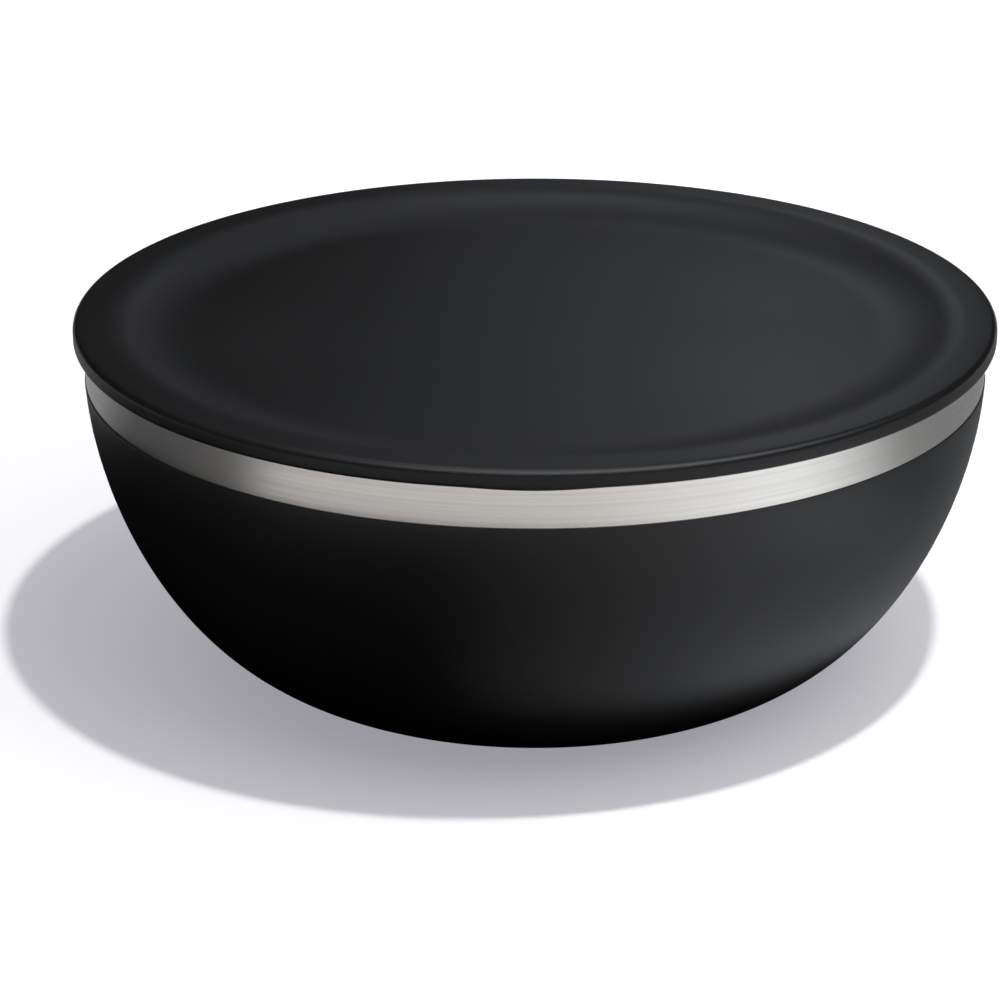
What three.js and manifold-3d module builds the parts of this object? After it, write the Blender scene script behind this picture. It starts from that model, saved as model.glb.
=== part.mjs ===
// Insulated camping bowl with a press-in lid.
// The bowl is two drawn steel walls with a vacuum between them, coated black below a bare band at the rim.
// The lid is one dished moulding: its lip hangs over the rim, and its plug carries a silicone gasket.
// Millimetres, +Z up, with the origin on the table under the middle of the bowl.

import * as THREE from "three";
import { mergeVertices } from "three/addons/utils/BufferGeometryUtils.js";
import Module from "manifold-3d";

// Bowl walls
const RIM_DIAMETER = 252.4; // outside of the bare steel band
const BOWL_HEIGHT = 99.4; // table to the top of the lip
const BAND_HEIGHT = 13.4; // straight bare band, from the lip to the edge of the coat
const FOOT_DIAMETER = 134; // outside of the standing ring
const FOOT_STEP = 0.6; // standing ring below the coated wall
const WALL_LEAN = 2.2; // degrees that the wall leans in where it leaves the band
const WALL_REACH = 39.2; // pull of the wall's curve below the band
const FOOT_REACH = 32; // pull of the wall's curve beside the foot
const SHEET = 0.6; // steel of both walls
const VACUUM_GAP = 5; // between the walls
const LIP_ROUND = 4; // the inner wall turns out to the lip on this radius
const LIP_EDGE = 0.3; // corner of the lip, ground off after welding
const COAT = 0.2; // powder coat

// Base of the outer wall
const STANDING_RING = 7; // flat width that meets the table
const RECESS_DEPTH = 1.5; // pocket for the base disc
const DISC_SHEET = 0.6;
const DISC_CLEARANCE = 0.4; // around the disc's edge
const DIMPLE_DIAMETER = 22; // pressed in round the pump-out hole
const DIMPLE_DEPTH = 1.9;
const DIMPLE_SLOPE = 3; // width of its sloping side
const PORT_DIAMETER = 3.2; // pump-out hole
const BEAD_DIAMETER = 10; // glass bead that seals the hole
const BEAD_HEIGHT = 1.3;

// Getter in the vacuum, beside the dimple
const GETTER_OFFSET = 30; // from the bowl's axis
const GETTER_CLEARANCE = 1; // under the inner floor
const PELLET_DIAMETER = 11;
const PELLET_CHAMFER = 0.4;
const STRAP_SHEET = 0.4;
const STRAP_WIDTH = 5;
const STRAP_FOOT = 4.5; // length welded down on each side

// Lid
const LID_WALL = 2.4;
const LIP_WALL = 2; // edge that hangs over the rim
const LIP_CLEARANCE = 0.8; // between that edge and the band
const LIP_DROP = 2.5; // of that edge below the seat
const LID_TOP_ROUND = 1.8;
const LID_FOOT_ROUND = 1;
const LEDGE_WIDTH = 8; // flat ring on top, from the edge to the brow of the dish
const BROW_RADIUS = 18; // top of the dish's side, where it rolls down
const DISH_RADIUS = 42; // foot of the dish's side, where it meets the floor
const DISH_SLOPE = 25; // steepest part of the dish's side, in degrees
const FINGER_LIP_WIDTH = 32; // lug at the front, for lifting the lid
const FINGER_LIP_DROP = 0.5; // in its middle
const FINGER_LIP_WALL = 0.9;

// Plug and gasket
const PLUG_DEPTH = 13.2; // below the seat
const PLUG_WALL = 2.4;
const PLUG_CLEARANCE = 1.6; // to the inner wall
const PLUG_CHAMFER = 0.6; // leads it into the mouth
const GROOVE_HEIGHT = 4.4;
const GROOVE_DEPTH = 1.2;
const GROOVE_RISE = 1.2; // above the plug's foot
const GASKET_FIT = 0.15; // in its groove
const GASKET_PROUD = 0.3; // of the plug
const FIN_COUNT = 2;
const FIN_PITCH = 1.8;
const FIN_RISE = 0.8; // each fin sweeps up towards its tip
const FIN_ROOT = 0.8;
const FIN_TIP = 0.4;
const FIN_START = 0.5; // lowest fin above the gasket's foot
const SEAL_GAP = 0.2; // fin tips to the inner wall

// Fits and fineness
const BOND_GAP = 0.05; // welded and bonded faces
const SEAT_GAP = 0.3; // lid on the lip
const SEGMENTS = 56; // round the axis
const SMALL_SEGMENTS = 24; // round the small pieces
const WALL_STEPS = 8; // along the wall's curve
const ARC_STEPS = 3;
const LUG_STEPS = 8; // along the finger lip

const QUARTER = Math.PI / 2;
const rimRadius = RIM_DIAMETER / 2;
const footRadius = FOOT_DIAMETER / 2;
const bandFoot = BOWL_HEIGHT - BAND_HEIGHT;
const recessRadius = footRadius - STANDING_RING - RECESS_DEPTH;
const portRadius = PORT_DIAMETER / 2;
const insideOffset = -(2 * SHEET + VACUUM_GAP); // from the outer wall's outside to the inner wall's inside
const vacuumOffset = -(SHEET + VACUUM_GAP); // to the inner wall's vacuum side
const mouthRadius = rimRadius + insideOffset;
const innerFloorUnder = FOOT_STEP - vacuumOffset;

const wasm = await Module();
wasm.setup();

const point = (radius, height) => new THREE.Vector2(radius, height);

// Points of an arc, from one angle to another
function arc(centre, radius, start, end) {
  const points = [];
  for (let step = 0; step <= ARC_STEPS; step += 1) {
    const angle = start + ((end - start) * step) / ARC_STEPS;
    points.push(point(centre.x + radius * Math.cos(angle), centre.y + radius * Math.sin(angle)));
  }
  return points;
}

// Revolve a section about Z, drawn counter-clockwise as radius and height
function turned(section, segments = SEGMENTS) {
  return new THREE.LatheGeometry(section, segments).rotateX(QUARTER);
}

// A closed ring's section ends where it starts
const ring = (section) => turned([...section, section[0].clone()]);

function solidOf(geometry) {
  const bare = geometry.clone();
  bare.deleteAttribute("normal");
  bare.deleteAttribute("uv");
  const welded = mergeVertices(bare);
  const mesh = new wasm.Mesh({
    numProp: 3,
    vertProperties: Float32Array.from(welded.attributes.position.array),
    triVerts: Uint32Array.from(welded.index.array),
  });
  return new wasm.Manifold(mesh);
}

function geometryOf(solid) {
  const mesh = solid.getMesh();
  const geometry = new THREE.BufferGeometry();
  geometry.setAttribute("position", new THREE.BufferAttribute(mesh.vertProperties, 3));
  geometry.setIndex(new THREE.BufferAttribute(mesh.triVerts, 1));
  geometry.computeVertexNormals();
  return geometry;
}

function piece(name, geometry, material) {
  const mesh = new THREE.Mesh(geometry, material);
  mesh.name = name;
  return mesh;
}

const finish = (color, roughness, metalness) =>
  new THREE.MeshStandardMaterial({ color, roughness, metalness });

const brushedSteel = finish("#b9b6b2", 0.34, 1);
const blackPowderCoat = finish("#1d1e20", 0.6, 0);
const blackPolypropylene = finish("#2a2a2c", 0.5, 0);
const silicone = finish("#39393b", 0.7, 0);
const solderGlass = finish("#54605a", 0.2, 0);
const getterAlloy = finish("#6d6860", 0.8, 0.4);

// Outside of the outer wall, from the band down to the standing ring
const lean = THREE.MathUtils.degToRad(WALL_LEAN);
const wallCurve = new THREE.CubicBezierCurve(
  point(rimRadius, bandFoot),
  point(rimRadius - WALL_REACH * Math.sin(lean), bandFoot - WALL_REACH * Math.cos(lean)),
  point(footRadius + FOOT_REACH, FOOT_STEP),
  point(footRadius, FOOT_STEP),
);

// The same curve moved square to itself, outwards where the offset is positive, from the band to the foot
function wallLine(offset) {
  const line = [];
  for (let step = 0; step <= WALL_STEPS; step += 1) {
    const along = wallCurve.getTangent(step / WALL_STEPS);
    const out = point(-along.y, along.x);
    line.push(wallCurve.getPoint(step / WALL_STEPS).addScaledVector(out, offset));
  }
  return line;
}

// Base sheet from the pump-out hole to the standing ring, raised for its upper face
function baseLine(raise) {
  const roof = RECESS_DEPTH + DIMPLE_DEPTH + raise;
  const pocket = RECESS_DEPTH + raise;
  return [
    point(portRadius, roof),
    point(DIMPLE_DIAMETER / 2 - DIMPLE_SLOPE, roof),
    point(DIMPLE_DIAMETER / 2, pocket),
    point(recessRadius, pocket),
    point(recessRadius + RECESS_DEPTH, raise),
  ];
}

function outerShell() {
  const top = BOWL_HEIGHT - SHEET - BOND_GAP;
  return ring([
    ...baseLine(0),
    point(footRadius, 0),
    ...wallLine(0).reverse(),
    point(rimRadius, top),
    point(rimRadius - SHEET, top),
    ...wallLine(-SHEET),
    point(footRadius - SHEET, SHEET),
    ...baseLine(SHEET).reverse(),
  ]);
}

function powderCoat() {
  return ring([...wallLine(BOND_GAP + COAT).reverse(), ...wallLine(BOND_GAP)]);
}

// The inner wall rolls out at the top and laps over the outer wall's edge, where the two are welded
function innerShell() {
  const rollCentre = point(mouthRadius + LIP_ROUND, BOWL_HEIGHT - LIP_ROUND);
  return turned([
    point(0, innerFloorUnder),
    ...wallLine(vacuumOffset).reverse(),
    ...arc(rollCentre, LIP_ROUND - SHEET, Math.PI, QUARTER),
    point(rimRadius, BOWL_HEIGHT - SHEET),
    point(rimRadius, BOWL_HEIGHT - LIP_EDGE),
    point(rimRadius - LIP_EDGE, BOWL_HEIGHT),
    ...arc(rollCentre, LIP_ROUND, QUARTER, Math.PI),
    ...wallLine(insideOffset),
    point(0, innerFloorUnder + SHEET),
  ]);
}

function baseDisc() {
  const top = RECESS_DEPTH - BOND_GAP;
  const radius = recessRadius - DISC_CLEARANCE;
  return turned([
    point(0, top - DISC_SHEET),
    point(radius - DISC_SHEET / 2, top - DISC_SHEET),
    point(radius, top - DISC_SHEET / 2),
    point(radius, top),
    point(0, top),
  ]);
}

// A domed bead under the hole, with the glass that was drawn up into it
function evacuationSeal() {
  const roof = RECESS_DEPTH + DIMPLE_DEPTH - BOND_GAP;
  const bead = BEAD_DIAMETER / 2;
  const dome = new THREE.EllipseCurve(0, roof, bead, BEAD_HEIGHT, -QUARTER, 0);
  return turned([
    ...dome.getPoints(ARC_STEPS),
    point(portRadius - BOND_GAP, roof),
    point(portRadius - BOND_GAP, roof + SHEET),
    point(0, roof + SHEET),
  ], SMALL_SEGMENTS);
}

// The getter stands on the base's upper face, under a strap that is welded down on both sides
const getterSeat = RECESS_DEPTH + SHEET + BOND_GAP;
const strapTop = innerFloorUnder - GETTER_CLEARANCE - getterSeat;
const pelletTop = strapTop - STRAP_SHEET - BOND_GAP;

function getterPellet() {
  const radius = PELLET_DIAMETER / 2;
  return turned([
    point(0, 0),
    point(radius - PELLET_CHAMFER, 0),
    point(radius, PELLET_CHAMFER),
    point(radius, pelletTop - PELLET_CHAMFER),
    point(radius - PELLET_CHAMFER, pelletTop),
    point(0, pelletTop),
  ], SMALL_SEGMENTS);
}

function getterStrap() {
  const inside = PELLET_DIAMETER / 2 + BOND_GAP;
  const outside = inside + STRAP_SHEET;
  const end = outside + STRAP_FOOT;
  const half = [
    [outside, strapTop],
    [outside, STRAP_SHEET],
    [end, STRAP_SHEET],
    [end, 0],
    [inside, 0],
    [inside, strapTop - STRAP_SHEET],
  ];
  const mirrored = half.map(([across, height]) => [-across, height]).reverse();
  const outline = new THREE.Shape([...half, ...mirrored].map(([across, height]) => point(across, height)));
  const geometry = new THREE.ExtrudeGeometry(outline, { depth: STRAP_WIDTH, bevelEnabled: false });
  return geometry.rotateX(QUARTER).translate(0, STRAP_WIDTH / 2, 0);
}

// The lid's own frame has z = 0 on its seat, the face that lies on the bowl's lip
const lidRadius = rimRadius + LIP_CLEARANCE + LIP_WALL;
const slope = THREE.MathUtils.degToRad(DISH_SLOPE);
const browCentre = point(lidRadius - LEDGE_WIDTH, LID_WALL - BROW_RADIUS);
const dishCentre = point(
  browCentre.x - (BROW_RADIUS + DISH_RADIUS) * Math.sin(slope),
  browCentre.y + (BROW_RADIUS + DISH_RADIUS) * Math.cos(slope),
);

// Side of the dish from its floor up to the ledge, sunk into the moulding by a depth
function dishLine(depth) {
  return [
    ...arc(dishCentre, DISH_RADIUS + depth, -QUARTER, slope - QUARTER),
    ...arc(browCentre, BROW_RADIUS - depth, QUARTER + slope, QUARTER),
  ];
}

function lidPlate() {
  const floor = dishCentre.y - DISH_RADIUS;
  const topRound = point(lidRadius - LID_TOP_ROUND, LID_WALL - LID_TOP_ROUND);
  const footRound = point(lidRadius - LID_FOOT_ROUND, LID_FOOT_ROUND - LIP_DROP);
  return turned([
    point(0, floor - LID_WALL),
    ...dishLine(LID_WALL),
    point(lidRadius - LIP_WALL, 0),
    point(lidRadius - LIP_WALL, -LIP_DROP),
    ...arc(footRound, LID_FOOT_ROUND, -QUARTER, 0),
    ...arc(topRound, LID_TOP_ROUND, 0, QUARTER),
    ...dishLine(0).reverse(),
    point(0, floor),
  ]);
}

const plugRadius = mouthRadius - PLUG_CLEARANCE;
const grooveRadius = plugRadius - GROOVE_DEPTH;
const grooveFoot = GROOVE_RISE - PLUG_DEPTH;

// Wall that hangs into the mouth, rooted at mid-depth in the lid's plate
function lidPlug() {
  const inner = plugRadius - PLUG_WALL;
  const acrossBrow = Math.min(slope, Math.asin(Math.max(0, browCentre.x - inner) / BROW_RADIUS));
  const root = browCentre.y + BROW_RADIUS * Math.cos(acrossBrow) - LID_WALL / 2;
  return ring([
    point(inner, -PLUG_DEPTH),
    point(plugRadius - PLUG_CHAMFER, -PLUG_DEPTH),
    point(plugRadius, PLUG_CHAMFER - PLUG_DEPTH),
    point(plugRadius, grooveFoot),
    point(grooveRadius, grooveFoot),
    point(grooveRadius, grooveFoot + GROOVE_HEIGHT),
    point(plugRadius, grooveFoot + GROOVE_HEIGHT),
    point(plugRadius, root),
    point(inner, root),
  ]);
}

// Shallow lug under the front of the lip: a stretch of a ring, cut to a curve that dips in the middle
function fingerLip() {
  const outer = lidRadius - LID_FOOT_ROUND;
  const inner = outer - FINGER_LIP_WALL;
  const under = ring([
    point(inner, -2 * FINGER_LIP_DROP),
    point(outer, -2 * FINGER_LIP_DROP),
    point(outer, LID_FOOT_ROUND),
    point(inner, LID_FOOT_ROUND),
  ]);
  // The curve ends as far above the lip's foot as it dips below, which sets its length and its pull
  const end = (FINGER_LIP_WIDTH / 2) * Math.SQRT2;
  const pull = -3 * FINGER_LIP_DROP;
  const curve = new THREE.Shape();
  curve.moveTo(-end, FINGER_LIP_DROP);
  curve.quadraticCurveTo(0, pull, end, FINGER_LIP_DROP);
  const run = { depth: lidRadius, bevelEnabled: false, curveSegments: LUG_STEPS };
  const front = new THREE.ExtrudeGeometry(curve, run).rotateX(QUARTER);
  return solidOf(front).intersect(solidOf(under)).translate(0, 0, -LIP_DROP);
}

function lidCover() {
  return geometryOf(solidOf(lidPlate()).add(solidOf(lidPlug())).add(fingerLip()));
}

// A ring that fills the groove, with fins that wipe the inner wall
function lidGasket() {
  const inner = grooveRadius + GASKET_FIT;
  const body = plugRadius + GASKET_PROUD;
  const tip = mouthRadius - SEAL_GAP;
  const foot = grooveFoot + GASKET_FIT;
  const head = grooveFoot + GROOVE_HEIGHT - GASKET_FIT;
  const fins = [];
  for (let fin = 0; fin < FIN_COUNT; fin += 1) {
    const root = foot + FIN_START + fin * FIN_PITCH;
    fins.push(
      point(body, root),
      point(tip, root + FIN_RISE),
      point(tip, root + FIN_RISE + FIN_TIP),
      point(body, root + FIN_ROOT),
    );
  }
  return ring([point(inner, foot), point(body, foot), ...fins, point(body, head), point(inner, head)]);
}

const bowl = new THREE.Group();
bowl.add(
  piece("outer_shell", outerShell(), brushedSteel),
  piece("powder_coat", powderCoat(), blackPowderCoat),
  piece("inner_shell", innerShell(), brushedSteel),
  piece("base_disc", baseDisc(), brushedSteel),
  piece("evacuation_seal", evacuationSeal(), solderGlass),
);

const getter = new THREE.Group();
getter.position.set(GETTER_OFFSET, 0, getterSeat);
getter.add(
  piece("getter_pellet", getterPellet(), getterAlloy),
  piece("getter_strap", getterStrap(), brushedSteel),
);
bowl.add(getter);

const lid = new THREE.Group();
lid.position.z = BOWL_HEIGHT + SEAT_GAP;
lid.add(
  piece("lid_cover", lidCover(), blackPolypropylene),
  piece("lid_gasket", lidGasket(), silicone),
);

const campingBowl = new THREE.Group();
campingBowl.add(bowl, lid);

export default campingBowl;
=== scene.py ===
"""Dress the insulated camping bowl: fine turned meshes, finishes, studio and camera.

Lengths inside the classes are millimetres unless a docstring says metres. Every Blender object is in metres,
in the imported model's frame.
"""
import logging
import math
from dataclasses import dataclass
from enum import Enum
from typing import Any, Optional

import bmesh
import bpy
from bpy.types import ID, Material, Node, NodeSocket, NodeTree, Object
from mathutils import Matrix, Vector


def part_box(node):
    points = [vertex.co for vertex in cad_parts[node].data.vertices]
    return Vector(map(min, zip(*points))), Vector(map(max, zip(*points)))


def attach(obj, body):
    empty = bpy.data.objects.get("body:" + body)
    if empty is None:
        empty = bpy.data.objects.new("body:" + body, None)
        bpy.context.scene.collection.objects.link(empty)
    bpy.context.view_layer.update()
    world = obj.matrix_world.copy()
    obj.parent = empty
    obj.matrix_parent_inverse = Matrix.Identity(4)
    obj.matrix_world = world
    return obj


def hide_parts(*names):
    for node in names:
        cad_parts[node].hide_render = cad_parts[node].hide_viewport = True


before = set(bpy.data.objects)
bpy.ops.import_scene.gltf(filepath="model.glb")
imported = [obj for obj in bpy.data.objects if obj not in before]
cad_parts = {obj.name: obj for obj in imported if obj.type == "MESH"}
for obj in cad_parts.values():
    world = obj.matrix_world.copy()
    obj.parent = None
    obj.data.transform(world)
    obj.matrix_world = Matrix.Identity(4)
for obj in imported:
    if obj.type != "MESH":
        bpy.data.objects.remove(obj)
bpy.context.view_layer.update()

LOG = logging.getLogger("camping_bowl")

MM = 0.001
QUARTER = math.pi / 2

# Values between which most of a Noise node's output lies
NOISE_LOW = 0.3
NOISE_HIGH = 0.7

Point = tuple[float, float]
Corner = tuple[float, float, float]
Colour = tuple[float, float, float, float]
Pattern = tuple[NodeSocket, NodeSocket]


class Body(Enum):
    """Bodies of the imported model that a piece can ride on."""

    BOWL = "bowl"
    LID = "lid"


def linear(code: str) -> Colour:
    """Turn an sRGB hex colour into linear RGBA.

    Args:
        code: Colour as "#rrggbb".

    Returns:
        Linear red, green, blue and an alpha of one.
    """
    channels = [int(code[start:start + 2], 16) / 255 for start in (1, 3, 5)]
    red, green, blue = [c / 12.92 if c <= 0.04045 else ((c + 0.055) / 1.055) ** 2.4 for c in channels]
    return red, green, blue, 1.0


def add(tree: NodeTree, kind: str, inputs: Optional[dict[str | int, Any]] = None, **settings: Any) -> Node:
    """Add a node with its settings, input values and links.

    Args:
        tree: Tree that takes the node.
        kind: Blender's type name of the node.
        inputs: Socket name or index to a value, to the socket that feeds it, or to the node whose first
            output feeds it.
        settings: Properties of the node itself.

    Returns:
        The new node.
    """
    node = tree.nodes.new(kind)
    for name, value in settings.items():
        setattr(node, name, value)
    for key, value in (inputs or {}).items():
        if isinstance(value, Node):
            value = value.outputs[0]
        if isinstance(value, NodeSocket):
            tree.links.new(value, node.inputs[key])
        else:
            node.inputs[key].default_value = value
    return node


def bare_material(name: str) -> Material:
    """Make a material with an empty node tree.

    Args:
        name: Name of the material.

    Returns:
        The material.
    """
    made = bpy.data.materials.new(name)
    made.use_nodes = True
    made.node_tree.nodes.clear()
    return made


def placed(name: str, data: ID) -> Object:
    """Put a mesh, a lamp or a camera in the scene.

    Args:
        name: Name of the object.
        data: What the object holds.

    Returns:
        The object, at the origin.
    """
    thing = bpy.data.objects.new(name, data)
    bpy.context.scene.collection.objects.link(thing)
    return thing


# Sections: points are radius and height, drawn counter-clockwise


def arc(centre: Point, radius: float, start: float, end: float, steps: int) -> list[Point]:
    """Points of an arc about a centre.

    Args:
        centre: Middle of the arc.
        radius: Its radius.
        start: First angle, in radians from the radius axis.
        end: Last angle.
        steps: Number of chords.

    Returns:
        The points, both ends included.
    """
    angles = [start + (end - start) * step / steps for step in range(steps + 1)]
    return [(centre[0] + radius * math.cos(a), centre[1] + radius * math.sin(a)) for a in angles]


def softened(corners: list[Corner], steps: int = 6) -> list[Point]:
    """Round the corners of a line.

    Args:
        corners: Radius, height and rounding of each corner; the first and last keep no rounding.
        steps: Chords of each rounding.

    Returns:
        The points of the rounded line.
    """
    points: list[Point] = []
    for index, (radius, height, rounding) in enumerate(corners):
        here = Vector((radius, height))
        if rounding == 0:
            points.append((radius, height))
            continue
        back = (Vector(corners[index - 1][:2]) - here).normalized()
        onward = (Vector(corners[index + 1][:2]) - here).normalized()
        half = back.angle(onward) / 2
        centre = here + (back + onward).normalized() * rounding / math.sin(half)
        first = here + back * rounding / math.tan(half) - centre
        last = here + onward * rounding / math.tan(half) - centre
        start = math.atan2(first.y, first.x)
        sweep = math.atan2(first.x * last.y - first.y * last.x, first.dot(last))
        points += arc((centre.x, centre.y), rounding, start, start + sweep, steps)
    return points


def refined(points: list[Point], longest: float = 4.0) -> list[Point]:
    """Split the long stretches of a section, so that flat faces keep flat shading.

    Args:
        points: Points of the section.
        longest: Longest stretch to leave whole.

    Returns:
        The points with the added ones between them.
    """
    fine = points[:1]
    for (r0, z0), (r1, z1) in zip(points, points[1:]):
        parts = max(1, math.ceil(math.hypot(r1 - r0, z1 - z0) / longest))
        fine += [
            (r0 + (r1 - r0) * part / parts, z0 + (z1 - z0) * part / parts) for part in range(1, parts + 1)
        ]
    return fine


def closed(section: list[Point]) -> list[Point]:
    """End a ring's section where it starts."""
    return section + section[:1]


@dataclass(frozen=True)
class Wall:
    """Outside of the bowl's wall: one cubic curve from the band down to the standing ring.

    Attributes:
        rim: Radius of the band.
        band_foot: Height of the band's lower edge.
        foot: Radius of the standing ring.
        foot_step: Height of the coated wall's end over the table.
        lean: Degrees that the wall leans in where it leaves the band.
        band_reach: Pull of the curve below the band.
        foot_reach: Pull of the curve beside the foot.
        steps: Chords along the curve.
    """

    rim: float
    band_foot: float
    foot: float = 67.0
    foot_step: float = 0.6
    lean: float = 2.2
    band_reach: float = 39.2
    foot_reach: float = 32.0
    steps: int = 48

    def line(self, offset: float) -> list[Point]:
        """The curve moved square to itself.

        Args:
            offset: Distance outwards.

        Returns:
            Points from the band down to the foot.
        """
        # Control points, from the band to the foot
        lean = math.radians(self.lean)
        a = Vector((self.rim, self.band_foot))
        b = a - Vector((math.sin(lean), math.cos(lean))) * self.band_reach
        d = Vector((self.foot, self.foot_step))
        c = d + Vector((self.foot_reach, 0))
        points: list[Point] = []
        for step in range(self.steps + 1):
            t = step / self.steps
            s = 1 - t
            spot = a * s ** 3 + b * 3 * s * s * t + c * 3 * s * t * t + d * t ** 3
            along = ((b - a) * s * s + (c - b) * 2 * s * t + (d - c) * t * t).normalized()
            spot += Vector((-along.y, along.x)) * offset
            points.append((spot.x, spot.y))
        return points


# Turning a section into a piece


class Lathe:
    """Geometry Nodes tree that revolves a section about +Z, and the step from it to a plain mesh.

    Attributes:
        SECTION: Name of the input that takes the section's points.
        SEGMENTS: Name of the input for the faces round the axis.
        FINISH: Name of the input for the material.
        WELD: Distance within which points are joined, in metres.
        CREASE: Angle from which an edge is drawn sharp, in degrees.
    """

    SECTION = "Section"
    SEGMENTS = "Segments"
    FINISH = "Finish"
    WELD = MM / 1000
    CREASE = 40

    def __init__(self, segments: int = 256) -> None:
        """Build the tree.

        Args:
            segments: Faces round the axis of the pieces turned with this lathe.
        """
        self.segments = segments
        self.tree = bpy.data.node_groups.new("turned_section", "GeometryNodeTree")
        sockets = (
            (self.SECTION, "NodeSocketGeometry"),
            (self.SEGMENTS, "NodeSocketInt"),
            (self.FINISH, "NodeSocketMaterial"),
        )
        self.inputs = {
            name: self.tree.interface.new_socket(name, in_out="INPUT", socket_type=kind).identifier
            for name, kind in sockets
        }
        self.tree.interface.new_socket("Turned", in_out="OUTPUT", socket_type="NodeSocketGeometry")
        self._fill()

    def _fill(self) -> None:
        """Add the nodes: a grid whose columns are turned copies of the section's points."""
        tree = self.tree
        given = add(tree, "NodeGroupInput").outputs
        section = given[self.SECTION]
        segments = given[self.SEGMENTS]
        rows = add(tree, "GeometryNodeAttributeDomainSize", {0: section}, component="MESH")
        columns = add(tree, "FunctionNodeIntegerMath", {0: segments, 1: 1}, operation="ADD")
        grid = add(tree, "GeometryNodeMeshGrid", {"Vertices X": columns, "Vertices Y": rows})
        index = add(tree, "GeometryNodeInputIndex")
        row = add(tree, "FunctionNodeIntegerMath", {0: index, 1: rows}, operation="MODULO")
        column = add(tree, "FunctionNodeIntegerMath", {0: index, 1: rows}, operation="DIVIDE_FLOOR")
        place = add(tree, "GeometryNodeInputPosition")
        drawn = add(
            tree, "GeometryNodeSampleIndex",
            {"Geometry": section, "Value": place, "Index": row}, data_type="FLOAT_VECTOR",
        )
        share = add(tree, "ShaderNodeMath", {0: column, 1: segments}, operation="DIVIDE")
        angle = add(tree, "ShaderNodeMath", {0: share, 1: math.tau}, operation="MULTIPLY")
        turned = add(
            tree, "ShaderNodeVectorRotate", {"Vector": drawn, "Angle": angle}, rotation_type="Z_AXIS",
        )
        moved = add(tree, "GeometryNodeSetPosition", {"Geometry": grid, "Position": turned})
        welded = add(tree, "GeometryNodeMergeByDistance", {"Geometry": moved, "Distance": self.WELD})
        smooth = add(tree, "GeometryNodeSetShadeSmooth", {"Geometry": welded})
        real = add(tree, "GeometryNodeRealizeInstances", {"Geometry": smooth})
        dressed = add(tree, "GeometryNodeSetMaterial", {"Geometry": real, "Material": given[self.FINISH]})
        add(tree, "NodeGroupOutput", {0: dressed})

    def turn(self, name: str, section: list[Point], finish: Material) -> Object:
        """Revolve a section into a plain mesh object.

        Args:
            name: Name of the piece.
            section: Its points in millimetres, closed on itself or with both ends on the axis.
            finish: Its material.

        Returns:
            The object, at the origin.
        """
        mesh = bpy.data.meshes.new(name)
        mesh.from_pydata([(radius * MM, 0, height * MM) for radius, height in refined(section)], [], [])
        piece = placed(name, mesh)
        modifier = piece.modifiers.new("turned", "NODES")
        modifier.node_group = self.tree
        modifier[self.inputs[self.SEGMENTS]] = self.segments
        modifier[self.inputs[self.FINISH]] = finish
        evaluated = piece.evaluated_get(bpy.context.evaluated_depsgraph_get())
        piece.data = bpy.data.meshes.new_from_object(evaluated)
        piece.modifiers.remove(modifier)
        bpy.data.meshes.remove(mesh)
        piece.data.name = name
        piece.data.set_sharp_from_angle(angle=math.radians(self.CREASE))
        return piece


def settle(piece: Object, body: Body, slot: str, *nodes: str) -> None:
    """Check a finished piece and give it to the frame.

    Args:
        piece: The finished object.
        body: Body that it rides on.
        slot: Material slot name; not used.
        nodes: CAD nodes that it stands for.
    """
    shape = bmesh.new()
    shape.from_mesh(piece.data)
    loose = sum(not edge.is_manifold for edge in shape.edges)
    volume = shape.calc_volume(signed=True) / MM ** 3
    triangles = len(shape.calc_loop_triangles())
    shape.free()
    if loose or volume <= 0:
        raise ValueError(f"{piece.name} isn't closed, faces outwards: {loose} edges, {volume:.1f} mm3")
    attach(piece, body.value)
    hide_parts(*nodes)
    LOG.info("%s: %d triangles, %.0f mm3, rides on %s", piece.name, triangles, volume, body.value)


# Finishes


@dataclass(frozen=True)
class Finish:
    """A material, from what it is made of and how its surface was made.

    Attributes:
        name: Name of the material.
        colour: sRGB hex of the surface.
        shade: sRGB hex that the pattern drifts to.
        roughness: Lowest and highest roughness that the pattern gives.
        depth: Depth of the pattern's relief.
        metallic: 1 on metal.
        specular: Specular level of a dielectric; 0.5 is the plain one.
    """

    name: str
    colour: str
    shade: str
    roughness: tuple[float, float]
    depth: float
    metallic: float = 0.0
    specular: float = 0.5

    def material(self) -> Material:
        """Build the material.

        Returns:
            A node material with colour, roughness and bump from one pattern.
        """
        made = bare_material(self.name)
        tree = made.node_tree
        tone, relief = self.pattern(tree)
        share = add(
            tree, "ShaderNodeMapRange", {"Value": tone, "From Min": NOISE_LOW, "From Max": NOISE_HIGH},
        )
        colour = add(
            tree, "ShaderNodeMix", {"Factor": share, "A": linear(self.colour), "B": linear(self.shade)},
            data_type="RGBA",
        ).outputs["Result"]
        low, high = self.roughness
        rough = add(tree, "ShaderNodeMapRange", {"Value": share, "To Min": low, "To Max": high})
        bump = add(tree, "ShaderNodeBump", {"Height": relief, "Distance": self.depth * MM, "Strength": 1.0})
        shader = add(
            tree, "ShaderNodeBsdfPrincipled",
            {"Base Color": colour, "Roughness": rough, "Metallic": self.metallic,
             "Specular IOR Level": self.specular, "Normal": bump},
        )
        self.polish(tree, shader)
        add(tree, "ShaderNodeOutputMaterial", {"Surface": shader})
        return made

    def pattern(self, tree: NodeTree) -> Pattern:
        """Add the noise that sets tone and gloss, and the noise that sets the relief."""
        raise NotImplementedError

    def polish(self, tree: NodeTree, shader: Node) -> None:
        """Set what only this kind of finish has; nothing on a plain one."""


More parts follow.
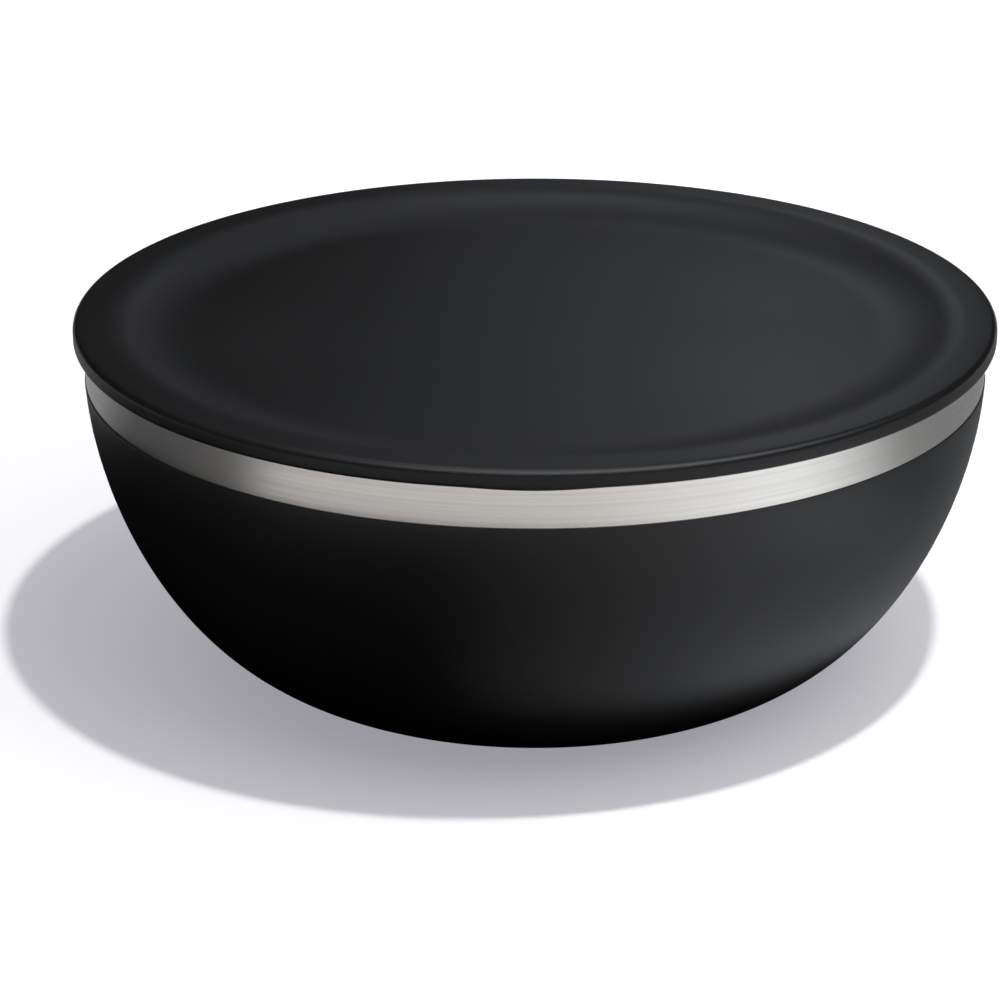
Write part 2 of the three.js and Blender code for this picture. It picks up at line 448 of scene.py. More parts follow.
@dataclass(frozen=True, kw_only=True)
class Grained(Finish):
    """A surface with a fine even grain, such as a sprayed coat or a moulding from a textured tool.

    Attributes:
        grain: Size of one grain.
        drift: Size of the slow unevenness over the surface.
        drift_share: Share of the slow unevenness in the pattern.
    """

    grain: float
    drift: float
    drift_share: float = 0.5

    def pattern(self, tree: NodeTree) -> Pattern:
        """Add the grain for the relief, and grain and drift together for tone and gloss.

        Args:
            tree: The material's nodes.

        Returns:
            The noise for tone and gloss, and the noise for the relief.
        """
        place = add(tree, "ShaderNodeTexCoord").outputs["Object"]
        fine = add(
            tree, "ShaderNodeTexNoise",
            {"Vector": place, "Scale": 1 / (self.grain * MM), "Detail": 2.0, "Roughness": 0.6},
        ).outputs[0]
        slow = add(
            tree, "ShaderNodeTexNoise", {"Vector": place, "Scale": 1 / (self.drift * MM), "Detail": 1.0},
        )
        both = add(
            tree, "ShaderNodeMix", {"Factor": self.drift_share, "A": fine, "B": slow}, data_type="FLOAT",
        ).outputs["Result"]
        return both, fine


@dataclass(frozen=True, kw_only=True)
class Brushed(Finish):
    """Metal brushed round the axis: long fine scratches that follow the turn.

    Attributes:
        spacing: Width of one scratch.
        length: Length of a scratch at the rim.
        rim: Radius at which that length holds.
        anisotropy: Stretch of the gloss across the scratches.
    """

    spacing: float
    length: float
    rim: float = 126.0
    anisotropy: float

    def pattern(self, tree: NodeTree) -> Pattern:
        """Add scratches from a noise that changes slowly round the axis and fast across the surface.

        Args:
            tree: The material's nodes.

        Returns:
            The noise for tone and gloss, and the noise for the relief.
        """
        place = add(tree, "ShaderNodeTexCoord").outputs["Object"]
        flat = add(tree, "ShaderNodeVectorMath", {0: place, 1: (1, 1, 0)}, operation="MULTIPLY")
        radius = add(tree, "ShaderNodeVectorMath", {0: flat}, operation="LENGTH").outputs["Value"]
        heading = add(tree, "ShaderNodeVectorMath", {0: flat}, operation="NORMALIZE")
        along = add(
            tree, "ShaderNodeVectorMath", {0: heading, "Scale": self.rim / self.length}, operation="SCALE",
        )
        height = add(tree, "ShaderNodeSeparateXYZ", {0: place}).outputs["Z"]
        across = add(tree, "ShaderNodeMath", {0: radius, 1: height}, operation="ADD")
        lane = add(tree, "ShaderNodeMath", {0: across, 1: 1 / (self.spacing * MM)}, operation="MULTIPLY")
        lift = add(tree, "ShaderNodeCombineXYZ", {"Z": lane})
        spot = add(tree, "ShaderNodeVectorMath", {0: along, 1: lift}, operation="ADD")
        scratch = add(
            tree, "ShaderNodeTexNoise", {"Vector": spot, "Scale": 1.0, "Detail": 1.0, "Roughness": 0.5},
        ).outputs[0]
        return scratch, scratch

    def polish(self, tree: NodeTree, shader: Node) -> None:
        """Stretch the gloss across the scratches.

        Args:
            tree: The material's nodes.
            shader: Its shader.
        """
        shader.inputs["Anisotropic"].default_value = self.anisotropy
        tangent = add(tree, "ShaderNodeTangent", direction_type="RADIAL", axis="Z").outputs[0]
        tree.links.new(tangent, shader.inputs["Tangent"])


# Stainless steel, belt-brushed round the rim: soft bands of light across fine level scratches
BAND_STEEL = Brushed(
    name="brushed_stainless_steel", colour="#B3B0AB", shade="#ACA9A4", roughness=(0.23, 0.27), metallic=1.0,
    spacing=0.6, length=160.0, depth=0.0005, anisotropy=0.7,
)

# Stainless steel, satin from spinning: finer and more even than the band
INNER_STEEL = Brushed(
    name="satin_stainless_steel", colour="#C4C2BF", shade="#BAB8B5", roughness=(0.26, 0.32), metallic=1.0,
    spacing=0.8, length=60.0, depth=0.001, anisotropy=0.4,
)

# Stainless steel, plain pressed sheet: a dull mill finish
BASE_STEEL = Grained(
    name="pressed_stainless_steel", colour="#B8B6B3", shade="#A9A7A4", roughness=(0.34, 0.44), metallic=1.0,
    grain=0.6, drift=25.0, depth=0.002,
)

# Powder coat, sprayed and baked: near black, even, with a fine dry grain; the real grain is about 0.2 mm
# and is drawn coarser, so that it shows
BLACK_COAT = Grained(
    name="black_powder_coat", colour="#060607", shade="#080809", roughness=(0.38, 0.46), specular=0.25,
    grain=0.6, drift=60.0, depth=0.012, drift_share=0.4,
)

# Polypropylene, moulded in a spark-eroded tool: satin black; the real texture is about 0.15 mm and is drawn
# coarser, so that it shows
LID_PLASTIC = Grained(
    name="black_polypropylene", colour="#080809", shade="#0A0A0B", roughness=(0.36, 0.44), specular=0.2,
    grain=0.5, drift=70.0, depth=0.01, drift_share=0.4,
)

# Silicone rubber, moulded: soft dark grey with a dry surface that holds a little dust
GASKET_SILICONE = Grained(
    name="grey_silicone", colour="#37373A", shade="#414144", roughness=(0.55, 0.7), specular=0.4,
    grain=0.9, drift=18.0, depth=0.006,
)

# Solder glass, fused in a furnace: dark, greenish and glossy
SOLDER_GLASS = Grained(
    name="fused_solder_glass", colour="#545F58", shade="#485049", roughness=(0.1, 0.2),
    grain=1.5, drift=6.0, depth=0.004,
)

# Getter, sintered from metal powder: dull brown-grey and porous
GETTER_ALLOY = Grained(
    name="sintered_getter_alloy", colour="#6B665E", shade="#544F49", roughness=(0.65, 0.85), metallic=0.4,
    grain=0.5, drift=5.0, depth=0.05,
)


@dataclass(frozen=True)
class SeamlessPaper:
    """White paper: matt, with a painted glow that lifts it to white and keeps the object's shadow pale.

    Attributes:
        name: Name of the material.
        colour: sRGB hex of the paper.
        mottling: Darkest and lightest tone of the paper, as shares of its colour.
        fibre: Size of the mottling.
        glow: sRGB hex of the painted glow round the object, which lifts the floor and its shadow for camera
            and gloss.
        far_glow: sRGB hex of that light far from the object, where the key light fades.
        spread: Distances from the object at which the glow starts to rise and is full, in metres.
    """

    name: str = "white_seamless_paper"
    colour: str = "#DADADB"
    mottling: tuple[float, float] = (0.985, 1.015)
    fibre: float = 2.0
    glow: str = "#99979E"
    far_glow: str = "#FFFFFF"
    spread: tuple[float, float] = (0.25, 0.9)

    def material(self) -> Material:
        """Build the material.

        Returns:
            A diffuse surface whose glow is seen directly and in gloss, and lights nothing.
        """
        made = bare_material(self.name)
        tree = made.node_tree
        place = add(tree, "ShaderNodeTexCoord").outputs["Object"]
        noise = add(tree, "ShaderNodeTexNoise", {"Vector": place, "Scale": 1 / (self.fibre * MM)})
        dark, light = self.mottling
        tone = add(tree, "ShaderNodeMapRange", {"Value": noise, "To Min": dark, "To Max": light})
        paper = add(
            tree, "ShaderNodeVectorMath", {0: linear(self.colour)[:3], "Scale": tone}, operation="SCALE",
        )
        matt = add(tree, "ShaderNodeBsdfDiffuse", {"Color": paper})
        rays = add(tree, "ShaderNodeLightPath").outputs
        mirrored = add(
            tree, "ShaderNodeMath",
            {0: rays["Is Glossy Ray"], 1: rays["Is Transmission Ray"]}, operation="MAXIMUM",
        )
        seen = add(tree, "ShaderNodeMath", {0: rays["Is Camera Ray"], 1: mirrored}, operation="MAXIMUM")
        away = add(tree, "ShaderNodeVectorMath", {0: place}, operation="LENGTH").outputs["Value"]
        start, full = self.spread
        rise = add(
            tree, "ShaderNodeMapRange", {"Value": away, "From Min": start, "From Max": full},
            interpolation_type="SMOOTHSTEP",
        )
        tint = add(
            tree, "ShaderNodeMix", {"Factor": rise, "A": linear(self.glow), "B": linear(self.far_glow)},
            data_type="RGBA",
        ).outputs["Result"]
        glow = add(tree, "ShaderNodeEmission", {"Color": tint, "Strength": seen})
        lit = add(tree, "ShaderNodeAddShader", {0: matt, 1: glow})
        add(tree, "ShaderNodeOutputMaterial", {"Surface": lit})
        return made


# The bowl


@dataclass
class Bowl:
    """Two drawn steel walls with a vacuum between them, coated black below the bare band.

    Attributes:
        lathe: Lathe that turns the pieces.
        rim: Radius of the band.
        height: Table to the top of the lip.
        band_foot: Height of the band's lower edge.
        sheet: Steel of both walls.
        gap: Vacuum between the walls.
        bond: Space that the model keeps between joined faces.
        coat: Thickness of the powder coat.
        coat_edge: Rounding of the coat's upper edge.
        lip_round: Radius on which the inner wall turns out to the lip.
        lip_flat: Straight end of the lip, which lies on the outer wall.
        lip_edge: Rounding of the lip's outer corner, ground after welding.
        weld_edge: Rounding of the lip's lower corner, at the weld.
        lip_chords: Chords of the turn on its outer and its inner face.
        ring: Width of the standing ring.
        ring_edge: Rounding of the standing ring's outer corner.
        recess: Depth of the pocket for the base disc.
        press_round: Rounding of the pressed corners.
        disc_sheet: Steel of the base disc.
        disc_clearance: Space round the disc.
        dimple: Radius, depth and side of the dimple over the pump-out hole.
        port: Radius of the pump-out hole.
    """

    lathe: Lathe
    rim: float
    height: float
    band_foot: float
    sheet: float = 0.6
    gap: float = 5.0
    bond: float = 0.05
    coat: float = 0.2
    coat_edge: float = 0.09
    lip_round: float = 4.0
    lip_flat: float = 1.0
    lip_edge: float = 0.25
    weld_edge: float = 0.05
    lip_chords: tuple[int, int] = (10, 12)
    ring: float = 7.0
    ring_edge: float = 0.25
    recess: float = 1.5
    press_round: float = 0.5
    disc_sheet: float = 0.6
    disc_clearance: float = 0.4
    dimple: tuple[float, float, float] = (11.0, 1.9, 3.0)
    port: float = 1.6

    @classmethod
    def from_frame(cls, lathe: Lathe) -> "Bowl":
        """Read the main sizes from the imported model.

        Args:
            lathe: Lathe that turns the pieces.

        Returns:
            The bowl, not yet built.
        """
        shell_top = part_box("outer_shell")[1] / MM
        lip_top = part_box("inner_shell")[1] / MM
        coat_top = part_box("powder_coat")[1] / MM
        return cls(lathe, rim=shell_top.x, height=lip_top.z, band_foot=coat_top.z)

    @property
    def wall(self) -> Wall:
        """The outside of the outer wall."""
        return Wall(self.rim, self.band_foot)

    @property
    def recess_radius(self) -> float:
        """Radius of the pocket's floor."""
        return self.wall.foot - self.ring - self.recess

    def base_corners(self, raised: float) -> list[Corner]:
        """Base sheet from the pump-out hole to the standing ring.

        Args:
            raised: Height over the sheet's lower face.

        Returns:
            Its corners.
        """
        radius, depth, side = self.dimple
        roof = self.recess + depth + raised
        pocket = self.recess + raised
        soft = self.press_round
        return [
            (self.port, roof, 0),
            (radius - side, roof, soft),
            (radius, pocket, soft),
            (self.recess_radius, pocket, soft),
            (self.recess_radius + self.recess, raised, soft),
        ]

    def outer_section(self) -> list[Point]:
        """Outer wall, with the band, the standing ring and the pocket in the base.

        Returns:
            Its section, closed on itself.
        """
        wall = self.wall
        top = self.height - self.sheet - self.bond
        outside = wall.line(0)[::-1]
        inside = wall.line(-self.sheet)
        under = self.base_corners(0) + [(wall.foot, 0, self.ring_edge), (*outside[0], 0)]
        upper = self.base_corners(self.sheet)[::-1]
        upper = [(*inside[-1], 0), (wall.foot - self.sheet, self.sheet, 0)] + upper
        return closed(
            softened(under) + outside[1:] + [(self.rim, top), (self.rim - self.sheet, top)]
            + inside[:-1] + softened(upper)
        )

    def coat_section(self) -> list[Point]:
        """Powder coat, feathered at the masked edge under the band.

        Returns:
            Its section, closed on itself.
        """
        outside = self.wall.line(self.bond + self.coat)[::-1]
        inside = self.wall.line(self.bond)
        edge = [(*outside[-2], 0), (*outside[-1], self.coat_edge), (*inside[0], 0)]
        return closed(outside[:-2] + softened(edge) + inside[1:])

    def inner_section(self) -> list[Point]:
        """Inner wall, which rolls out to the lip and laps over the outer wall.

        Returns:
            Its section, with both ends on the axis.
        """
        outer = -(self.sheet + self.gap)
        inner = outer - self.sheet
        centre = (self.rim + inner + self.lip_round, self.height - self.lip_round)
        floor = self.wall.foot_step - outer
        under, over = self.lip_chords
        edge = [
            (self.rim - self.lip_flat, self.height - self.sheet, 0),
            (self.rim, self.height - self.sheet, self.weld_edge),
            (self.rim, self.height, self.lip_edge),
            (self.rim - self.lip_flat, self.height, 0),
        ]
        return (
            [(0, floor)] + self.wall.line(outer)[::-1]
            + arc(centre, self.lip_round - self.sheet, math.pi, QUARTER, under)
            + softened(edge) + arc(centre, self.lip_round, QUARTER, math.pi, over)
            + self.wall.line(inner) + [(0, floor + self.sheet)]
        )

    def disc_section(self) -> list[Point]:
        """Base disc, with a pressed round edge.

        Returns:
            Its section, with both ends on the axis.
        """
        top = self.recess - self.bond
        radius = self.recess_radius - self.disc_clearance
        return softened([
            (0, top - self.disc_sheet, 0),
            (radius, top - self.disc_sheet, self.disc_sheet / 2),
            (radius, top, 0),
            (0, top, 0),
        ])

    def build(self) -> None:
        """Turn the bowl's pieces and dress them, and the sealed ones inside."""
        turned = (
            ("outer_wall", self.outer_section(), BAND_STEEL, "brushed_steel", "outer_shell"),
            ("coat", self.coat_section(), BLACK_COAT, "black_coat", "powder_coat"),
            ("inner_wall", self.inner_section(), INNER_STEEL, "inner_steel", "inner_shell"),
            ("base_cover", self.disc_section(), BASE_STEEL, "base_steel", "base_disc"),
        )
        for name, section, finish, slot, node in turned:
            piece = self.lathe.turn(name, section, finish.material())
            settle(piece, Body.BOWL, slot, node)
        self.dress_sealed()

    def dress_sealed(self) -> None:
        """Give the pieces in the vacuum and under the base disc their finishes."""
        sealed = (
            ("evacuation_seal", SOLDER_GLASS), ("getter_pellet", GETTER_ALLOY), ("getter_strap", BASE_STEEL),
        )
        for node, finish in sealed:
            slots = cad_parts[node].data.materials
            slots.clear()
            slots.append(finish.material())
            LOG.info("%s: kept, dressed as %s", node, finish.name)


# The lid


@dataclass
class Gasket:
    """Silicone ring in the plug's groove: a body that fills the groove and fins that wipe the mouth.

    Attributes:
        lathe: Lathe that turns it.
        plug: Outside radius of the plug.
        groove_depth: Depth of the plug's groove.
        reach: Radius of the fins' tips.
        foot: Height of its lower face over the table.
        top: Height of its upper face over the table.
        slack: Space behind it in the groove.
        proud: How far its body stands out of the groove.
        fins: Number of fins.
        first_fin: Lower face to the root of the first fin.
        pitch: Fin to fin.
        fin_rise: Rise of a fin from root to tip.
        fin_tip: Height of a fin's tip.
        fin_round: Rounding of the fins and of the corners in the groove.
        body_round: Rounding of the body's outer corners.
    """

    lathe: Lathe
    plug: float
    groove_depth: float
    reach: float
    foot: float
    top: float
    slack: float = 0.15
    proud: float = 0.3
    fins: int = 2
    first_fin: float = 0.5
    pitch: float = 1.8
    fin_rise: float = 0.8
    fin_tip: float = 0.4
    fin_round: float = 0.15
    body_round: float = 0.2

    @classmethod
    def from_frame(cls, lathe: Lathe, plug: float, groove_depth: float) -> "Gasket":
        """Make the gasket, not yet built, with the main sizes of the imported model."""
        low, high = (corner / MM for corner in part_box("lid_gasket"))
        return cls(lathe, plug, groove_depth, reach=high.x, foot=low.z, top=high.z)

    def section(self) -> list[Point]:
        """Body and fins.

        Returns:
            The section, closed on itself.
        """
        inner = self.plug - self.groove_depth + self.slack
        body = self.plug + self.proud
        fine = self.fin_round
        corners = [(inner, self.foot, fine), (body, self.foot, self.body_round)]
        for fin in range(self.fins):
            root = self.foot + self.first_fin + fin * self.pitch
            tip = root + self.fin_rise
            corners += [
                (body, root, fine),
                (self.reach, tip, fine),
                (self.reach, tip + self.fin_tip, fine),
                (body, tip, fine),
            ]
        corners += [(body, self.top, self.body_round), (inner, self.top, fine)]
        middle = (inner, (self.foot + self.top) / 2, 0)
        return softened([middle] + corners + [middle], steps=4)

    def build(self) -> None:
        """Turn the gasket and dress it."""
        gasket = self.lathe.turn("gasket", self.section(), GASKET_SILICONE.material())
        settle(gasket, Body.LID, "gasket_silicone", "lid_gasket")


@dataclass
class Lid:
    """Dished lid with a lip over the rim, a plug in the mouth and a gasket.

    Attributes:
        lathe: Lathe that turns the pieces.
        radius: Outside of the lip.
        top: Height of the ledge over the table.
        plug_foot: Height of the plug's foot over the table.
        wall: Thickness of the plate.
        lip_wall: Thickness of the lip.
        lip_slack: Tolerance for points on the lip's inner face.
        lip_drop: Lip below the seat.
        top_round: Rounding of the upper edge.
        foot_round: Rounding of the lip's foot outside.
        inner_foot_round: Rounding of the lip's foot inside.
        seat_round: Rounding of the corners beside the seat.
        ledge: Flat ring, from the edge to the brow of the dish.
        brow: Radius on which the dish's side rolls down.
        dish: Radius on which it meets the floor.
        slope: Steepest part of the dish's side, in degrees.
        dish_chords: Chords of the dish's foot and of its brow.
        plug: Outside radius of the plug.
        plug_wall: Thickness of the plug.
        plug_rounds: Roundings of the plug's root inside, and of its foot inside and outside.
        root_reach: Stretch of the underside that runs straight to the plug's root.
        groove: Height, depth and rise over the plug's foot of the gasket's groove.
        groove_round: Rounding of the groove's corners.
        finger_half: Half width of the finger lip.
        finger_drop: How far the lip droops there.
    """

    lathe: Lathe
    radius: float
    top: float
    plug_foot: float
    wall: float = 2.4
    lip_wall: float = 2.0
    lip_slack: float = 0.01
    lip_drop: float = 2.5
    top_round: float = 1.8
    foot_round: float = 1.0
    inner_foot_round: float = 0.3
    seat_round: float = 0.5
    ledge: float = 8.0
    brow: float = 18.0
    dish: float = 42.0
    slope: float = 25.0
    dish_chords: tuple[int, int] = (16, 12)
    plug: float = 118.4
    plug_wall: float = 2.4
    plug_rounds: tuple[float, float, float] = (0.5, 0.4, 0.6)
    root_reach: float = 1.0
    groove: tuple[float, float, float] = (4.4, 1.2, 1.2)
    groove_round: float = 0.15
    finger_half: float = 20.0
    finger_drop: float = 0.5

    @classmethod
    def from_frame(cls, lathe: Lathe) -> "Lid":
        """Make the lid, not yet built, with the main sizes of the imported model."""
        low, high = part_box("lid_cover")
        return cls(lathe, radius=high.x / MM, top=high.z / MM, plug_foot=low.z / MM)

    @property
    def seat(self) -> float:
        """Height of the face that lies on the bowl's lip."""
        return self.top - self.wall

    @property
    def lip_foot(self) -> float:
        """Height of the lip's foot."""
        return self.seat - self.lip_drop

    def dish_line(self, depth: float) -> list[Point]:
        """Side of the dish, sunk into the moulding.

        Args:
            depth: Depth below the show face.

        Returns:
            Points from the dish's floor up to the ledge.
        """
        slope = math.radians(self.slope)
        brow = (self.radius - self.ledge, self.top - self.brow)
        reach = self.brow + self.dish
        foot = (brow[0] - reach * math.sin(slope), brow[1] + reach * math.cos(slope))
        foot_chords, brow_chords = self.dish_chords
        return (
            arc(foot, self.dish + depth, -QUARTER, slope - QUARTER, foot_chords)
            + arc(brow, self.brow - depth, QUARTER + slope, QUARTER, brow_chords)[1:]
        )

    def cover_section(self) -> list[Point]:
        """The moulding: plate, lip and plug.

        Returns:
            Its section, with both ends on the axis.
        """
        show = self.dish_line(0)[::-1]
        under = self.dish_line(self.wall)
        inner = self.plug - self.plug_wall
        hidden = [spot for spot in under if spot[0] < inner - self.root_reach]
        root = min(under, key=lambda spot: abs(spot[0] - inner))[1]
        root_round, inner_round, outer_round = self.plug_rounds
        height, depth, rise = self.groove
        foot = self.plug_foot
        lip = self.radius - self.lip_wall
        corners = [
            (*hidden[-1], 0),
            (inner, root, root_round),
            (inner, foot, inner_round),
            (self.plug, foot, outer_round),
            (self.plug, foot + rise, self.groove_round),
            (self.plug - depth, foot + rise, self.groove_round),
            (self.plug - depth, foot + rise + height, self.groove_round),
            (self.plug, foot + rise + height, self.groove_round),
            (self.plug, self.seat, self.seat_round),
            (lip, self.seat, self.seat_round),
            (lip, self.lip_foot, self.inner_foot_round),
            (self.radius, self.lip_foot, self.foot_round),
            (self.radius, self.top, self.top_round),
            (*show[0], 0),
        ]
        return [(0, under[0][1])] + hidden[:-1] + softened(corners, steps=8) + show[1:] + [(0, show[-1][1])]

    def droop(self, cover: Object) -> None:
        """Lower the lip's foot at the front, as the finger lip.

        Args:
            cover: The turned cover.
        """
        inside = (self.radius - self.lip_wall - self.lip_slack) * MM
        start = (self.top - self.top_round) * MM
        foot = self.lip_foot * MM
        for vertex in cover.data.vertices:
            spot = vertex.co
            across = abs(spot.x) / (self.finger_half * MM)
            if spot.y > 0 or across > 1 or spot.z > start or math.hypot(spot.x, spot.y) < inside:
                continue
            share = min(1, (start - spot.z) / (start - foot))
            spot.z -= self.finger_drop * MM * share * (1 - across ** 2) ** 2

    def build(self) -> None:
        """Turn the lid's pieces and dress them."""
        cover = self.lathe.turn("lid_moulding", self.cover_section(), LID_PLASTIC.material())
        self.droop(cover)
        settle(cover, Body.LID, "lid_plastic", "lid_cover")
        Gasket.from_frame(self.lathe, self.plug, self.groove[1]).build()


# The studio


@dataclass
class Camera:
    """The photograph's viewpoint, in front of the bowl and above it.

    Attributes:
        distance: Eye to the aim, in metres.
        elevation: Degrees of the eye above the aim.
        aim: Height of the aim on the bowl's axis, in metres.
        pitch: Degrees that the lens looks down.
        lens: Focal length.
        sensor: Width of the sensor.
        shift: Sideways shift that frames the bowl right of the middle.
        clip: Nearest and farthest distance that shows, in metres.
    """

    distance: float = 0.85
    elevation: float = 21.125
    aim: float = 0.058
    pitch: float = 22.106
    lens: float = 106.54
    sensor: float = 36.0
    shift: float = -0.035
    clip: tuple[float, float] = (0.01, 100.0)

    def build(self) -> None:
        """Make the camera and give it to the scene."""
        data = bpy.data.cameras.new("camera")
        data.sensor_width = self.sensor
        data.lens = self.lens
        data.shift_x = self.shift
        data.clip_start, data.clip_end = self.clip
        camera = placed("camera", data)
        rise = math.radians(self.elevation)
        camera.location = (0, -self.distance * math.cos(rise), self.aim + self.distance * math.sin(rise))
        camera.rotation_euler = (QUARTER - math.radians(self.pitch), 0, 0)
        bpy.context.scene.camera = camera


# Linear tint of the cards, a little cooler than the lamps
COOL_WHITE = (0.965, 0.995, 1.045, 1.0)


@dataclass(frozen=True)
class Card:
    """A curved studio card with feathered ends that shows only in gloss: a black flag, or a lit reflector.

    Attributes:
        name: Name of the card.
        azimuths: Its ends, in degrees from the camera's side towards the right.
        radii: Distance from the bowl's axis of its lower and upper edge, in metres.
        heights: Height of its lower and upper edge, in metres.
        radiance: Light that it gives; a flag gives none.
        feather: Degrees over which each end thins out.
        steps: Faces along it.
    """

    name: str
    azimuths: tuple[float, float]
    radii: tuple[float, float]
    heights: tuple[float, float]
    radiance: float = 0.0
    feather: tuple[float, float] = (4.0, 4.0)
    steps: int = 90

    def build(self) -> None:
        """Make the card, and store on its points how far they cover what is behind."""
        first, last = self.azimuths
        corners = []
        cover = []
        for step in range(self.steps + 1):
            azimuth = first + (last - first) * step / self.steps
            turn = math.radians(azimuth)
            corners += [
                (r * math.sin(turn), -r * math.cos(turn), z) for r, z in zip(self.radii, self.heights)
            ]
            inset = min(abs(azimuth - first) / self.feather[0], abs(azimuth - last) / self.feather[1], 1)
            cover += [inset, inset]
        faces = [(2 * s, 2 * s + 1, 2 * s + 3, 2 * s + 2) for s in range(self.steps)]
        mesh = bpy.data.meshes.new(self.name)
        mesh.from_pydata(corners, [], faces)
        mesh.attributes.new("cover", "FLOAT", "POINT").data.foreach_set("value", cover)
        mesh.materials.append(self.material())
        card = placed(self.name, mesh)
        card.visible_camera = False
        card.visible_diffuse = False
        card.visible_shadow = False

    def material(self) -> Material:
        """Build the card's material.

        Returns:
            A plain glow that is clear where the card thins out.
        """
        made = bare_material(self.name)
        tree = made.node_tree
        cover = add(tree, "ShaderNodeAttribute", attribute_name="cover").outputs["Fac"]
        clear = add(tree, "ShaderNodeBsdfTransparent")
        light = add(tree, "ShaderNodeEmission", {"Color": COOL_WHITE, "Strength": self.radiance})
        mixed = add(tree, "ShaderNodeMixShader", {0: cover, 1: clear, 2: light})
        add(tree, "ShaderNodeOutputMaterial", {"Surface": mixed})
        return made


# Just over the floor: what the coat and the band mirror; where two overlap, the higher one shows
FLOOR_CARDS = (
    # Painted shade: a black sheet under the belly that the coat and the band mirror in place of the contact
    # shadow, which the floor's glow lacks in gloss
    Card("belly_painted_shade_flag", (-180, 180), (0.068, 0.107), (0.0005, 0.0005)),
    Card("near_left_flag", (33, -178), (0.107, 0.3), (0.0008, 0.0008), feather=(50, 4)),
    Card("left_flag", (-57, -172), (0.25, 0.8), (0.0005, 0.0005), 0.14, feather=(2, 4)),
    Card("left_end_reflector", (-100, -165), (0.27, 0.6), (0.001, 0.001), 0.5, feather=(20, 20)),
    Card("right_reflector", (10, 84), (0.2, 0.7), (0.0005, 0.0005), 1.9, feather=(38, 26)),
    Card("near_right_reflector", (-12, 95), (0.107, 0.2), (0.0006, 0.0006), 1.0, feather=(36, 55)),
    Card("right_back_flag", (35, 150), (0.107, 0.8), (0.0004, 0.0004), 0.36, feather=(18, 6)),
    Card("near_back_flag", (140, 196), (0.068, 0.2), (0.0003, 0.0003), 0.1, feather=(8, 8)),
)

# Behind the bowl: what the lid's ledge and dish mirror
BACK_CARDS = (
    Card("back_flag", (95, 265), (2.0, 2.0), (0.0, 2.2), 0.01, feather=(12, 12)),
    Card("low_strip", (150, 210), (1.9, 1.9), (0.05, 0.4), 0.14, feather=(10, 10)),
    Card("high_softbox", (181, 191), (0.62, 0.4), (0.6, 0.8), 2.2, feather=(2, 2)),
    Card("top_softbox", (176, 210), (0.4, 0.02), (0.8, 0.9), 7.5, feather=(12, 4)),
    Card("right_strip", (157, 176), (0.75, 0.75), (0.38, 0.54), 1.9, feather=(11, 3)),
    Card("middle_strip", (174, 186), (0.75, 0.75), (0.32, 0.46), 0.5, feather=(3, 3)),
)

# Over the bowl and in front of it: what the lid's rounded edge and the steel inside mirror
FRONT_CARDS = (
    Card("overhead_softbox", (-60, 80), (0.02, 0.7), (1.1, 0.9), 5.5, feather=(20, 20)),
    Card("front_softbox", (-22, 100), (0.8, 0.8), (0.9, 1.55), 32.0, feather=(40, 66)),
)


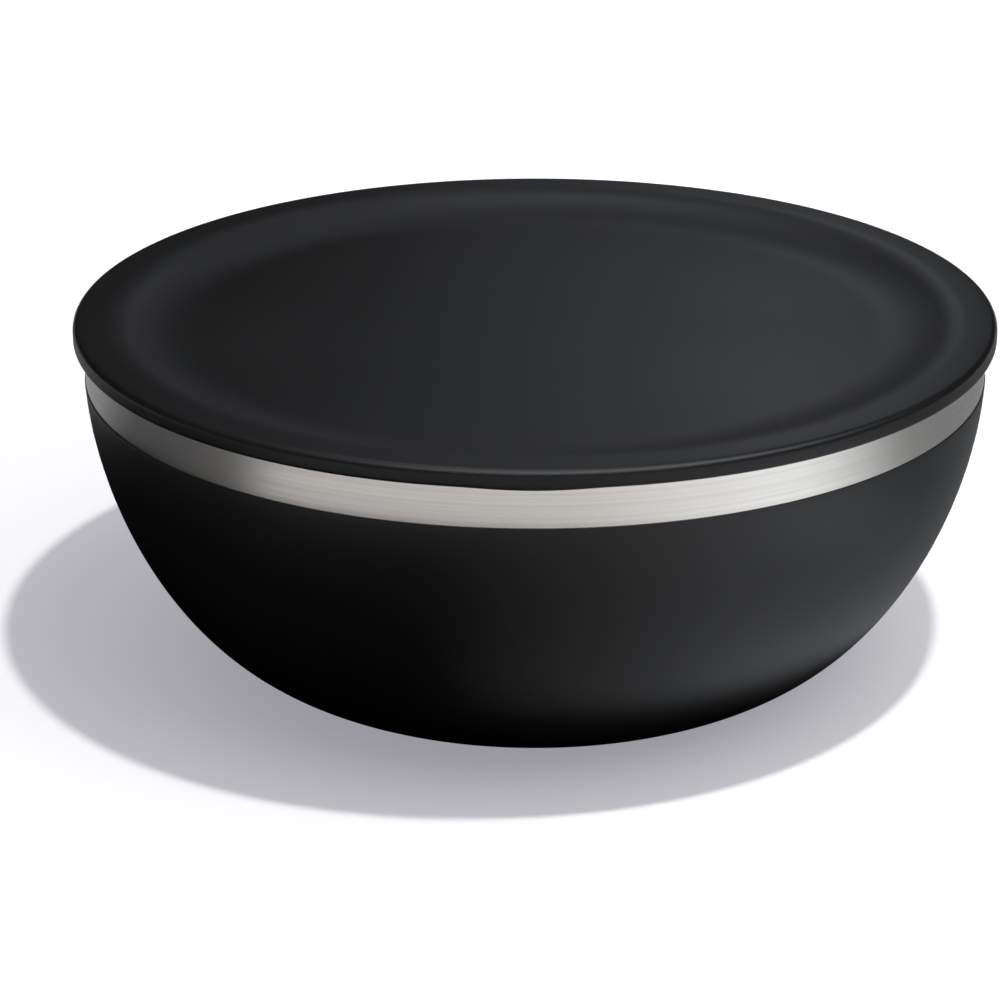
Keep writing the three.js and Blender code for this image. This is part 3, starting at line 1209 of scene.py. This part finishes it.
@dataclass
class Studio:
    """White floor, a small key lamp, a wide fill, a dim room, and cards that only gloss shows.

    Attributes:
        floor_radius: Reach of the floor, in metres.
        floor_sides: Sides of its outline.
        key_place: Place of the key, in metres.
        key_power: Its power, in watts.
        key_radius: Radius of its bulb, in metres.
        fill_place: Place of the fill, in metres.
        fill_power: Its power, in watts.
        fill_width: Width of its round panel, in metres.
        lamp_tint: Linear tint of both lamps.
        overhead: Radiance of the room overhead.
        horizon: Radiance of the room round the horizon.
        rise: Upward parts of a direction between which the room brightens.
        room_tint: Linear tint of the room.
        cards: Cards round the bowl.
    """

    floor_radius: float = 14.0
    floor_sides: int = 64
    key_place: tuple[float, float, float] = (0.25, -0.31, 1.39)
    key_power: float = 56.0
    key_radius: float = 0.03
    fill_place: tuple[float, float, float] = (1.1, -0.5, 1.7)
    fill_power: float = 15.0
    fill_width: float = 2.4
    lamp_tint: tuple[float, float, float] = (1.0, 0.985, 0.96)
    overhead: float = 0.5
    horizon: float = 0.13
    rise: tuple[float, float] = (0.55, 0.95)
    room_tint: Colour = (0.97, 0.98, 1.0, 1.0)
    cards: tuple[Card, ...] = FLOOR_CARDS + BACK_CARDS + FRONT_CARDS

    def build(self) -> None:
        """Make the floor, the lamps, the room and the cards."""
        self.lay_floor()
        self.hang_lamps()
        self.light_room()
        for card in self.cards:
            card.build()

    def lay_floor(self) -> None:
        """Lay a plain white floor, level with the bowl's foot."""
        shape = bmesh.new()
        bmesh.ops.create_circle(shape, cap_ends=True, segments=self.floor_sides, radius=self.floor_radius)
        mesh = bpy.data.meshes.new("floor")
        shape.to_mesh(mesh)
        shape.free()
        mesh.materials.append(SeamlessPaper().material())
        floor = placed("floor", mesh)

    def hang_lamps(self) -> None:
        """Hang the key, a small lamp overhead, and the fill, a wide panel on the right.

        Gloss doesn't show the lamps: the cards stand in for them there.
        """
        key = bpy.data.lights.new("key", "POINT")
        key.energy = self.key_power
        key.shadow_soft_size = self.key_radius
        fill = bpy.data.lights.new("fill", "AREA")
        fill.shape = "DISK"
        fill.size = self.fill_width
        fill.energy = self.fill_power
        for data, place in ((key, self.key_place), (fill, self.fill_place)):
            data.color = self.lamp_tint
            lamp = placed(data.name, data)
            lamp.location = place
            lamp.rotation_euler = Vector(place).to_track_quat("Z", "Y").to_euler()
            lamp.visible_glossy = False

    def light_room(self) -> None:
        """Make the world a dim room that brightens overhead."""
        world = bpy.data.worlds.new("room")
        world.use_nodes = True
        bpy.context.scene.world = world
        tree = world.node_tree
        tree.nodes.clear()
        heading = add(tree, "ShaderNodeTexCoord").outputs["Generated"]
        upward = add(tree, "ShaderNodeSeparateXYZ", {0: heading}).outputs["Z"]
        start, full = self.rise
        level = add(
            tree, "ShaderNodeMapRange",
            {"Value": upward, "From Min": start, "From Max": full, "To Min": self.horizon,
             "To Max": self.overhead},
            interpolation_type="SMOOTHSTEP",
        )
        shine = add(tree, "ShaderNodeBackground", {"Color": self.room_tint, "Strength": level})
        add(tree, "ShaderNodeOutputWorld", {"Surface": shine})


def main() -> None:
    """Build the studio, the bowl and the lid, and report each piece."""
    logging.basicConfig(level=logging.INFO, format="%(name)s: %(message)s")
    bpy.context.scene.view_settings.view_transform = "Standard"
    Camera().build()
    Studio().build()
    lathe = Lathe()
    Bowl.from_frame(lathe).build()
    Lid.from_frame(lathe).build()


if __name__ == "__main__":
    main()
